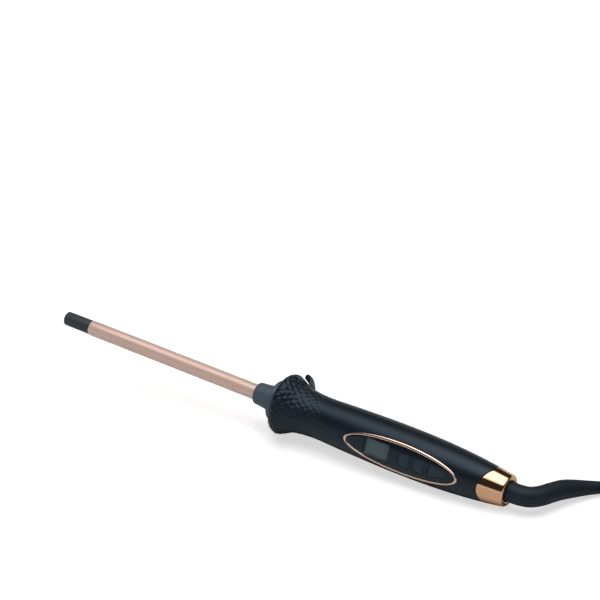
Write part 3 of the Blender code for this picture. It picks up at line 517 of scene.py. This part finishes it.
CARRIED = {
    "heater_core": CERAMIC, "heater_carrier_front": ALUMINIUM, "heater_carrier_back": ALUMINIUM,
    "heater_lead_1": WIRE_WHITE, "heater_lead_2": WIRE_WHITE, "heat_sleeve": CERAMIC,
    "barrel_clamp": STEEL, "thermal_fuse": STEEL, "lcd_module": DISPLAY,
    "circuit_board": BOARD_GREEN, "minus_switch": INNER_BLACK, "plus_switch": INNER_BLACK,
    "power_switch": INNER_BLACK, "capacitor": INNER_BLACK, "triac": INNER_BLACK,
    "transformer": CERAMIC, "swivel_bush": ACETAL, "swivel_core": INNER_BLACK,
    "contact_spring_live": BRASS, "contact_spring_neutral": BRASS, "contact_block": INNER_BLACK,
    "slip_ring_live": BRASS, "slip_ring_neutral": BRASS,
}
for node_name, finish in CARRIED.items():
    node_mesh = frame["nodes"][node_name].data
    node_mesh.materials.clear()
    node_mesh.materials.append(finish)


# ------------------------------------------------------------------ camera, floor and light

def camera():
    turn_round, raise_up = radians(EYE_TURN), radians(EYE_RAISE)
    right = Vector((cos(turn_round), sin(turn_round), 0))
    back = Vector((sin(turn_round) * cos(raise_up), -cos(turn_round) * cos(raise_up), sin(raise_up)))
    up = back.cross(right)
    data = bpy.data.cameras.new("camera")
    data.lens = EYE_LENS
    data.sensor_width = 36.0
    data.clip_end = 50.0
    eye = bpy.data.objects.new("camera", data)
    eye.matrix_world = (Matrix.Translation(EYE_PLACE)
                        @ Matrix((right, up, back)).transposed().to_4x4())
    bpy.context.scene.collection.objects.link(eye)
    bpy.context.scene.camera = eye


def floor():
    """A pale floor, a little brighter to the camera than to the piece above it."""
    bm = bmesh.new()
    bmesh.ops.create_grid(bm, x_segments=1, y_segments=1, size=6.0)
    plain = bpy.data.materials.new("pale_floor")
    plain.use_nodes = True
    shader = plain.node_tree.nodes["Principled BSDF"]
    shader.inputs["Base Color"].default_value = (0.8, 0.8, 0.8, 1)
    shader.inputs["Roughness"].default_value = 0.9
    shader.inputs["Specular IOR Level"].default_value = 0.0
    shader.inputs["Emission Color"].default_value = (1, 1, 1, 1)
    lift = plain.node_tree.nodes.new("ShaderNodeMath")
    lift.operation = "MULTIPLY"
    lift.inputs[1].default_value = 0.62
    path = plain.node_tree.nodes.new("ShaderNodeLightPath")
    plain.node_tree.links.new(path.outputs["Is Camera Ray"], lift.inputs[0])
    plain.node_tree.links.new(lift.outputs[0], shader.inputs["Emission Strength"])
    ground = make("floor", bm, Matrix.Identity(4))
    ground.data.materials.append(plain)


def studio():
    """A bright overhead dome, a darker band below it, and a pale horizon."""
    world = bpy.data.worlds.new("studio")
    world.use_nodes = True
    bpy.context.scene.world = world
    tree = world.node_tree
    where = tree.nodes.new("ShaderNodeTexCoord")
    split = tree.nodes.new("ShaderNodeSeparateXYZ")
    tree.links.new(where.outputs["Generated"], split.inputs[0])
    ramp = tree.nodes.new("ShaderNodeValToRGB")
    stops = [(0.0, 0.62), (0.2, 0.62), (0.26, 0.03), (0.80, 0.03), (0.88, 1.7), (0.97, 2.6)]
    ramp.color_ramp.elements.remove(ramp.color_ramp.elements[0])
    for position, value in stops:
        stop = ramp.color_ramp.elements.new(position)
        stop.color = (value, value, value, 1)
    ramp.color_ramp.elements.remove(ramp.color_ramp.elements[-1])
    tree.links.new(split.outputs["Z"], ramp.inputs["Fac"])
    tree.links.new(ramp.outputs["Color"], tree.nodes["Background"].inputs["Color"])
    bpy.context.scene.view_settings.view_transform = "Standard"


camera()
floor()
studio()


# ------------------------------------------------------------------ lead, hank and plug

def boot_line():
    """The strain relief's centreline, from the swivel out of the end ring and round its bend."""
    start = TO_WORLD @ Vector((BOOT_START_X, 0, 0)) / MM
    return even_line(smooth_line([start] + BOOT_ROUTE, 16), 0.8)


def arc(side, radius, height, first, last, steps=12):
    """Points round one end of the hank. A radius or height given as a pair changes on the way."""
    points = []
    for k in range(1, steps + 1):
        share = k / steps
        angle = radians(first + (last - first) * share)
        r = radius[0] + (radius[1] - radius[0]) * share if isinstance(radius, tuple) else radius
        z = height[0] + (height[1] - height[0]) * share if isinstance(height, tuple) else height
        points.append((HANK_X + side * HANK_HALF + r * cos(angle), HANK_Y + r * sin(angle), z))
    return points


def hank_line():
    """Five passes of the far run: two in the bottom layer, two in the middle and one on top."""
    low, middle, top = LAYER_Z
    right, left = HANK_X + HANK_HALF, HANK_X - HANK_HALF
    back_near, back_far = HANK_Y + NEAR_R, HANK_Y + FAR_R
    front_near, front_far = HANK_Y - NEAR_R, HANK_Y - FAR_R
    points = [(272, back_far, low), (320, back_far, low), (right, back_far, low)]
    points += arc(1, FAR_R, low, 90, -90)
    points += [(328, front_far, low), (HANK_X, front_far, low),
               (289, front_far + 1.2, low), (264, front_near - 1.2, low), (left, front_near, low)]
    points += arc(-1, NEAR_R, low, 270, 90)
    points += [(272, back_near, low), (328, back_near, low), (right, back_near, low)]
    points += arc(1, NEAR_R, low, 90, -90)
    points += [(345, front_near, low + 1.0), (318, front_near, middle - 1.0),
               (HANK_X, front_near, middle), (272, front_near, middle), (left, front_near, middle)]
    points += arc(-1, NEAR_R, middle, 270, 90)
    points += [(272, back_near, middle), (328, back_near, middle), (right, back_near, middle)]
    points += arc(1, NEAR_R, middle, 90, 0, 6)
    points += arc(1, (NEAR_R, FAR_R), middle, 0, -90, 6)
    points += [(328, front_far, middle), (272, front_far, middle), (left, front_far, middle)]
    points += arc(-1, FAR_R, middle, 270, 90)
    points += [(272, back_far, middle), (328, back_far, middle), (right, back_far, middle)]
    points += arc(1, FAR_R, middle, 90, 60, 2)
    points += arc(1, FAR_R, (middle, top), 60, 0, 4)
    points += arc(1, FAR_R, top, 0, -90, 6)
    points += [(328, front_far, top), (272, front_far, top), (left, front_far, top)]
    points += arc(-1, FAR_R, top, 270, 90)
    points += [(272, back_far, top), (300, back_far, top), (336, back_far, top)]
    return points


def strain_relief(route):
    radii = []
    for i in range(len(route)):
        share = i / (len(route) - 1)
        if share < BOOT_WAIST:
            radii.append(BOOT_R[0] + (BOOT_R[1] - BOOT_R[0]) * share / BOOT_WAIST)
        else:
            taper = (share - BOOT_WAIST) / (1 - BOOT_WAIST)
            taper = taper * taper * (3 - 2 * taper) * 0.5 + taper * 0.5
            radii.append(BOOT_R[1] + (BOOT_R[2] - BOOT_R[1]) * taper)
    for back, drop in ((0, 0.55), (1, 0.12)):
        radii[-1 - back] -= drop
    sheath = make("strain_relief", tube(route, radii, 40), WORLD_MM, sharp=60)
    return place_piece(sheath, "lead", RUBBER, "rubber_black", "boot")


def mains_cord(route):
    """The cord as one curve, from inside the boot to inside the plug."""
    inside = route[-16]
    line = smooth_line([inside, route[-1]] + CORD_ROUTE + hank_line() + TAIL_ROUTE, 6)
    line = even_line(line, 2.6)
    curve = bpy.data.curves.new("mains_cord", "CURVE")
    curve.dimensions = "3D"
    curve.bevel_depth = CORD_D / 2 * MM
    curve.bevel_resolution = 6
    curve.use_fill_caps = True
    spline = curve.splines.new("POLY")
    spline.points.add(len(line) - 1)
    for i, place in enumerate(line):
        spline.points[i].co = (*(place * MM), 1.0)
    cord = bpy.data.objects.new("mains_cord", curve)
    bpy.context.scene.collection.objects.link(cord)
    return place_piece(cord, "lead", RUBBER, "rubber_black", "cord_tube", "cord_hank", "cord_tail")


def cord_strap():
    wide = FAR_R + CORD_D / 2 + GAP + TIE_ROOM
    high = LAYER_Z[2] + CORD_D / 2 + GAP + TIE_ROOM
    outline = [(HANK_Y + y, z) for y, z in rounded((-wide, wide), (0.7, high), 3.4, 8)]
    middle = [Vector((HANK_X, y, z)) for y, z in outline]
    bm = bmesh.new()
    verts = [bm.verts.new(p - Vector((TIE_HALF, 0, 0))) for p in middle]
    edges = [bm.edges.new(pair) for pair in zip(verts, verts[1:] + verts[:1])]
    made = bmesh.ops.extrude_edge_only(bm, edges=edges)
    moved = [item for item in made["geom"] if isinstance(item, bmesh.types.BMVert)]
    bmesh.ops.translate(bm, verts=moved, vec=(2 * TIE_HALF, 0, 0))
    bmesh.ops.recalc_face_normals(bm, faces=bm.faces)
    bmesh.ops.solidify(bm, geom=bm.faces[:], thickness=TIE_THICK)
    bevel(bm, sharp_edges(bm, 60), 0.3, 2)
    strap = make("cord_strap", bm, WORLD_MM)
    return place_piece(strap, "lead", RUBBER, "rubber_black", "cord_tie")


def lead():
    route = boot_line()
    sheath = strain_relief(route)
    cord = mains_cord(route)
    tie = cord_strap()
    plug = plug_body()
    pins = plug_pins()


def plug_body():
    """A flat two-pin plug, waisted where the fingers hold it."""
    side = smooth_line([(0, 4.6, 0), (-5, 5.2, 0), (-10, 7.4, 0), (-15, 12.0, 0), (-20, 16.0, 0),
                        (-25, PLUG_HALF, 0), (-PLUG_LONG, PLUG_HALF, 0)], 4)
    outline = [(p.x, -p.y) for p in side] + [(p.x, p.y) for p in reversed(side)]
    bm = slab(outline, 0.0, 2 * PLUG_Z)
    flat = [e for e in bm.edges if abs(e.verts[0].co.z - e.verts[1].co.z) < 1e-6]
    bevel(bm, flat, 2.6, 6)
    return place_piece(make("plug_body_moulded", bm, plug_frame(), sharp=50), "lead", RUBBER,
                       "rubber_black", "plug_body")


def plug_frame():
    """Places the plug, whose own x points from its pins towards its cord."""
    return WORLD_MM @ Matrix.Translation(PLUG_PLACE) @ Matrix.Rotation(pi / 2, 4, "Z")


def plug_pins():
    face = -PLUG_LONG
    pins = []
    for number, side in ((1, -1), (2, 1)):
        tip = [(face - PLUG_PIN_LONG + 1.9 * (1 - cos(a)), PLUG_PIN_R * sin(a)) for a in
               (radians(9 * step) for step in range(11))]
        outline = tip + [(face - 10.0, PLUG_PIN_R), (face - GAP, PLUG_PIN_R), (face - GAP, 0)]
        bm = spin_line(outline, 36)
        bmesh.ops.translate(bm, verts=bm.verts, vec=(0, side * PLUG_PIN_Y, PLUG_Z))
        pin = make(f"plug_pin_turned_{number}", bm, plug_frame())
        pins.append(place_piece(pin, "lead", STEEL, "steel", f"plug_pin_{number}"))
    return pins


lead()


# ------------------------------------------------------------------ barrel, tip and collar

def heated_end():
    edge = 1.5
    nose = [(-141 + edge - edge * cos(a), 4.45 - edge + edge * sin(a)) for a in
            (radians(15 * step) for step in range(7))]
    tip = [(-141, 0), (-141, 1.4)] + nose
    tip += [(-130, 4.5), (-122.7, 4.55), (-122.3, 4.35), (-122.3, 3.9), (-114.3, 3.9), (-114.3, 0)]
    place_piece(make("cool_tip_moulded", spin_line(tip)), "wand", TIP_BLACK, "tip_black", "cool_tip")
    tube_line = [(-122, 4.2), (-122, 4.42), (-121.85, 4.58), (-121.4, 4.8), (-121.1, 4.85),
                 (-100, 4.87), (-60, 4.93), (0, 5.0), (33.5, 5.0), (33.5, 4.2)]
    place_piece(make("barrel_drawn", spin_line(tube_line, closed=True)), "wand", ROSE_GOLD,
                "rose_gold", "barrel")
    nose = smooth_line([(3.4, 5.9, 0), (3.5, 6.3, 0), (3.9, 6.72, 0), (4.6, 6.98, 0), (7.5, 7.28, 0),
                        (10.6, 7.6, 0), (12.5, 7.9, 0), (14.0, 8.0, 0)], 4)
    sleeve = [(3.4, 5.3)] + [(p.x, p.y) for p in nose]
    sleeve += [(31, 8.0), (31, 6.4), (6.0, 6.4), (6.0, 5.3)]
    place_piece(make("collar_moulded", spin_line(sleeve, closed=True)), "wand", COLLAR_GREY,
                "collar_grey", "collar")
    disc = [(17.1, 8.3), (17.1, 12.3), (17.25, 12.7), (17.6, 12.95), (18.1, 13.0), (20.1, 13.0),
            (20.1, 8.3)]
    place_piece(make("flange_moulded", spin_line(disc, closed=True)), "wand", COLLAR_GREY,
                "collar_grey", "flange_ring")


# ------------------------------------------------------------------ handle

def knurl(x, angle):
    """Height of the diamond relief at a station and an angle off the panel, 0 to -1."""
    front = min(1.0, max(0.0, (x - KNURL_X[0]) / 3.0))
    rear = min(1.0, max(0.0, (KNURL_X[1] - x) / 26.0))
    middle = abs(angle)
    round_fade = min(1.0, max(0.0, (118.0 - middle) / 34.0))
    share = front * rear * round_fade
    if share <= 0:
        return 0.0
    stretch = (x - 20.0) - 0.0018 * (x - 20.0) ** 2
    u = stretch / KNURL_LONG
    v = angle / 360.0 * KNURL_COUNT
    a, b = (u + v) % 1.0, (u - v) % 1.0
    ridge = min(a, 1 - a, b, 1 - b) * 2
    return -share * (1 - ridge)


def shell_outline():
    """The closed outline of one handle half: skin, step for the end ring, and inner wall."""
    stations = [x for x, _ in SKIN if x < 23.0]
    x = stations[-1]
    while x < RING_EDGE_X - 1.2:
        x += 0.38 if x < KNURL_X[1] else 1.5
        stations.append(min(x, RING_EDGE_X - 1.0))
    skin = [(x, radius_at(x)) for x in stations]
    edge = radius_at(RING_EDGE_X)
    skin += [(RING_EDGE_X - 0.4, edge - 0.02), (RING_EDGE_X - 0.22, edge - 0.2),
             (RING_EDGE_X - 0.2, 9.3), (RING_EDGE_X + 4.0, 9.1), (183.0, 8.7), (183.0, 7.7),
             (RING_EDGE_X - 3.6, 8.1)]
    inner = [(x + (0.9 if x < 25 else 0), r - WALL) for x, r in reversed(OUTLINE[3:21:2])]
    front = [(22.4, 15.6), (22.4, COLLAR_R + GAP), (20.4, COLLAR_R + GAP)]
    return skin + inner + front


def shape_shell(bm):
    """Swing the rear edge to and fro, and raise the diamonds on the grip."""
    for vert in bm.verts:
        x, y, z = vert.co
        if abs(x - RING_EDGE_X) < 11.0 and Vector((y, z)).length > 9.0:
            shift = edge_shift(x, y, z)
            if x <= RING_EDGE_X:
                out = Vector((y, z)).length - radius_at(x)
                vert.co.x = x - shift
                if out > -0.5:
                    scale = (radius_at(x - shift) + out) / Vector((y, z)).length
                    vert.co.y, vert.co.z = y * scale, z * scale
        elif KNURL_X[0] < x < KNURL_X[1]:
            r = Vector((y, z)).length
            if r > radius_at(x) - 0.3:
                angle = atan2(y, z) * 180 / pi
                scale = 1 + KNURL_DEEP * knurl(x, angle) / r
                vert.co.y, vert.co.z = y * scale, z * scale


def oval(inset, count=160):
    """The panel's oval, drawn in by an inset."""
    return [(PANEL_X + (PANEL_LONG - inset) * cos(2 * pi * i / count),
             (PANEL_WIDE - inset) * sin(2 * pi * i / count)) for i in range(count)]


def shells():
    for name, start in (("panel_shell", -90.0), ("back_shell", 90.0)):
        bm = spin_part(shell_outline(), start + SEAM, 180.0 - 2 * SEAM, 150)
        bmesh.ops.triangulate(bm, faces=[f for f in bm.faces if len(f.verts) > 4])
        shape_shell(bm)
        half = make(f"{name}_moulded", bm, sharp=40)
        if name == "panel_shell":
            tools = [(slab(oval(-0.15), 2, 25), TO_WORLD)]
        else:
            foot = slab([(36.9, -LUG_HALF), (41.1, -LUG_HALF), (41.1, LUG_HALF), (36.9, LUG_HALF)],
                        STAND_Z, STAND_Z + 3.8)
            lug = rod((STAND_X, -LUG_HALF, STAND_Z), (STAND_X, LUG_HALF, STAND_Z), LUG_R,
                      round_edge=0.3)
            combine(half, [(foot, TO_WORLD), (lug, TO_WORLD)], "UNION", sharp=40)
            hole = rod((STAND_X, -6, STAND_Z), (STAND_X, 6, STAND_Z), PIN_HOLE_R)
            tools = [(hole, TO_WORLD)]
            for x in SCREW_X:
                outer = radius_at(x)
                tools.append((rod((x, 0, -30), (x, 0, -outer + 1.1), 2.3), TO_WORLD))
                tools.append((rod((x, 0, -30), (x, 0, -5), 1.3), TO_WORLD))
        combine(half, tools, sharp=40)
        place_piece(half, "wand", SATIN_BLACK, "satin_black", name)


def ring():
    stations = [RING_EDGE_X + 0.02, RING_EDGE_X + 0.1, RING_EDGE_X + 0.35]
    lift = [-0.25, 0.02, 0.1]
    outline = [(x, radius_at(x) + up) for x, up in zip(stations, lift)]
    x = RING_EDGE_X + 1.0
    while x < 184.2:
        outline.append((x, radius_at(x) + 0.1))
        x += 0.9
    outline += [(184.6, 10.28), (185.1, 10.12), (185.55, 9.84), (185.85, 9.45),
                (RING_REAR_X, 9.0), (RING_REAR_X, 7.7), (185.85, 7.35), (185.5, 7.1),
                (184.4, 7.1), (183.6, 9.3), (176.2, 9.4), (RING_EDGE_X + 0.02, 9.7)]
    bm = spin_line(outline, 144, closed=True)
    for vert in bm.verts:
        x, y, z = vert.co
        r = Vector((y, z)).length
        shift = edge_shift(x, y, z)
        if shift and x < 183.0:
            out = r - radius_at(x)
            vert.co.x = x - shift
            if out > -0.5:
                scale = (radius_at(x - shift) + out) / r
                vert.co.y, vert.co.z = y * scale, z * scale
    place_piece(make("end_ring_plated", bm, sharp=50), "wand", RING_GOLD, "polished_rose_gold",
                "end_ring")


def screws():
    for number, x in enumerate(SCREW_X, 1):
        outer = radius_at(x)
        head = [(0, 0), (0.0, 1.2), (0.1, 1.6), (0.35, 1.9), (0.75, 2.0), (0.8, 1.0), (15, 1.0),
                (16, 0)]
        bm = spin_line(head, 40)
        upright = Matrix.Translation((x, 0, -outer + 0.3)) @ Matrix.Rotation(-pi / 2, 4, "Y")
        screw = make(f"screw_turned_{number}", bm, TO_WORLD @ upright)
        cross = []
        for long, wide in ((2.2, 0.5), (0.5, 2.2)):
            bm = slab([(x - long / 2, -wide / 2), (x + long / 2, -wide / 2),
                       (x + long / 2, wide / 2), (x - long / 2, wide / 2)],
                      -outer - 1, -outer + 0.85)
            cross.append((bm, TO_WORLD))
        combine(screw, cross)
        place_piece(screw, "wand", STEEL, "steel", f"shell_screw_{number}")


# ------------------------------------------------------------------ control panel

def bezel():
    bm = bmesh.new()
    section = [(0.0, -2.6), (0.0, -0.5), (0.08, -0.26), (0.28, -0.07), (0.58, 0.03), (0.9, 0.06),
               (1.22, 0.03), (1.52, -0.07), (1.72, -0.26), (1.8, -0.5), (1.8, -2.6)]
    loops = []
    for inset, drop in section:
        size = Matrix.Diagonal((PANEL_LONG - inset, PANEL_WIDE - inset, 1, 1))
        verts, edges = ring_loop(bm, Matrix.Translation((PANEL_X, 0, 0)) @ size, 160)
        for vert in verts:
            vert.co.z = panel_top(vert.co.x, vert.co.y) + drop
        loops.append(edges)
    bridge(bm, loops + loops[:1])
    place_piece(make("bezel_plated", bm), "wand", BEZEL_GOLD, "polished_rose_gold", "bezel")


def panel_face():
    bm = bmesh.new()
    shares = [0.04] + [k / 14 for k in range(1, 15)]
    loops = []
    for share in shares:
        size = Matrix.Diagonal(((PANEL_LONG - 2.1) * share, (PANEL_WIDE - 2.1) * share, 1, 1))
        _, edges = ring_loop(bm, Matrix.Translation((PANEL_X, 0, 0)) @ size, 128)
        loops.append(edges)
    bridge(bm, loops)
    bmesh.ops.contextual_create(bm, geom=loops[0])
    grown = bmesh.ops.extrude_face_region(bm, geom=bm.faces[:])
    lower = {item for item in grown["geom"] if isinstance(item, bmesh.types.BMVert)}
    for vert in bm.verts:
        thick = FACE_THICK if vert in lower else 0.0
        vert.co.z = panel_top(vert.co.x, vert.co.y) - FACE_SUNK - thick
    plate = make("panel_face_moulded", bm)
    half = (-WINDOW_HALF, WINDOW_HALF)
    tools = [(slab(rounded(WINDOW_X, half, 0.8), 5, 20), TO_WORLD)]
    for name in KEYS:
        tools.append((slab(key_outline(name, GAP), 5, 20), TO_WORLD))
    combine(plate, tools)
    bm = bmesh.new()
    bm.from_mesh(plate.data)
    bmesh.ops.transform(bm, matrix=TO_WORLD.inverted(), verts=bm.verts)
    rims = []
    for edge in sharp_edges(bm, 60):
        spot = edge.verts[0].co
        if spot.z > panel_top(spot.x, spot.y) - FACE_SUNK - 0.2:
            rims.append(edge)
    bevel(bm, rims, 0.14, 2)
    bpy.data.objects.remove(plate)
    plate = make("panel_face_moulded", bm, sharp=50)
    place_piece(plate, "wand", GLOSS_BLACK, "gloss_black", "panel_face")


def crowned_button(outline, base, top_at, edge, rings=5):
    """A slab with a round top edge, whose top is made of rings so that it takes the panel's crown."""
    bm = bmesh.new()
    middle_x = sum(x for x, _ in outline) / len(outline)
    half_x = max(x for x, _ in outline) - middle_x
    half_y = max(y for _, y in outline)
    steps = [(0.0, None), (0.0, -edge), (0.3 * edge, -0.3 * edge), (edge, 0.0)]
    steps += [(edge + (half_y - edge) * k / rings, 0.0) for k in range(1, rings)]
    loops = []
    for inset, drop in steps:
        share_x, share_y = 1 - inset / half_x, 1 - inset / half_y
        verts = []
        for x, y in outline:
            x, y = middle_x + (x - middle_x) * share_x, y * share_y
            z = base if drop is None else top_at(x, y) + drop
            verts.append(bm.verts.new((x, y, z)))
        loops.append([bm.edges.new(pair) for pair in zip(verts, verts[1:] + verts[:1])])
    bridge(bm, loops)
    bmesh.ops.contextual_create(bm, geom=loops[0])
    bmesh.ops.contextual_create(bm, geom=loops[-1])
    return bm


def window_and_keys():
    x0, x1 = WINDOW_X[0] + GAP, WINDOW_X[1] - GAP
    pane = crowned_button(rounded((x0, x1), (-WINDOW_HALF + GAP, WINDOW_HALF - GAP), 0.6), 12.6,
                          lambda x, y: panel_top(x, y) - FACE_SUNK, 0.12)
    place_piece(make("display_pane", pane), "wand", WINDOW, "clear_window", "lcd_window")
    for name in KEYS:
        bm = crowned_button(key_outline(name), KEY_BASE,
                            lambda x, y: panel_top(x, y) - FACE_SUNK + KEY_PROUD, 0.3)
        key = make(f"{name}_key_cap", bm, sharp=50)
        place_piece(key, f"{name}_key", KEY_BLACK, "gloss_black", f"{name}_button")


# ------------------------------------------------------------------ stand

def stand():
    """The hoop, its two arms to the lug on the handle's back, and the stub pins that hold it."""
    section = smooth_line([(29.6, 19.2, 0), (31.6, 18.0, 0), (33.7, 16.95, 0), (33.85, 17.6, 0),
                           (33.4, 19.4, 0), (32.75, 21.4, 0), (32.2, 21.9, 0), (31.2, 22.1, 0),
                           (30.2, 21.9, 0), (29.6, 21.2, 0), (29.5, 20.0, 0)], 3)
    bm = spin_part([(p.x, p.y) for p in section], 118.0, 124.0, 48)
    bevel(bm, sharp_edges(bm, 60), 0.35, 3)
    hoop = make("stand_moulded", bm, sharp=45)
    flat = smooth_line([(40.6, -15.6, 0), (37.6, -15.6, 0), (32.5, -18.3, 0), (31.0, -19.2, 0),
                        (31.2, -20.6, 0), (33.5, -20.5, 0), (39.6, -19.4, 0), (41.2, -17.6, 0)], 4)
    tools = []
    for side in (-1, 1):
        arm = slab([(p.x, p.y) for p in flat], ARM_LOW, ARM_HIGH)
        bevel(arm, sharp_edges(arm, 60), 0.4, 3)
        upright = Matrix(((1, 0, 0, 0), (0, 0, side, 0), (0, 1, 0, 0), (0, 0, 0, 1)))
        tools.append((arm, TO_WORLD @ upright))
    combine(hoop, tools, "UNION", sharp=45)
    holes = [(rod((STAND_X, side, STAND_Z), (STAND_X, side * 8, STAND_Z), PIN_HOLE_R), TO_WORLD)
             for side in (-1, 1)]
    combine(hoop, holes, sharp=45)
    place_piece(hoop, "stand", SATIN_BLACK, "satin_black", "stand")
    for side, name in ((-1, "stand_pin_left"), (1, "stand_pin_right")):
        pin = rod((STAND_X, side * 0.2, STAND_Z), (STAND_X, side * 5.2, STAND_Z), PIN_R,
                  round_edge=0.25)
        place_piece(make(f"{name}_turned", pin), "wand", STEEL, "steel", name)


heated_end()
shells()
ring()
screws()
bezel()
panel_face()
window_and_keys()
stand()
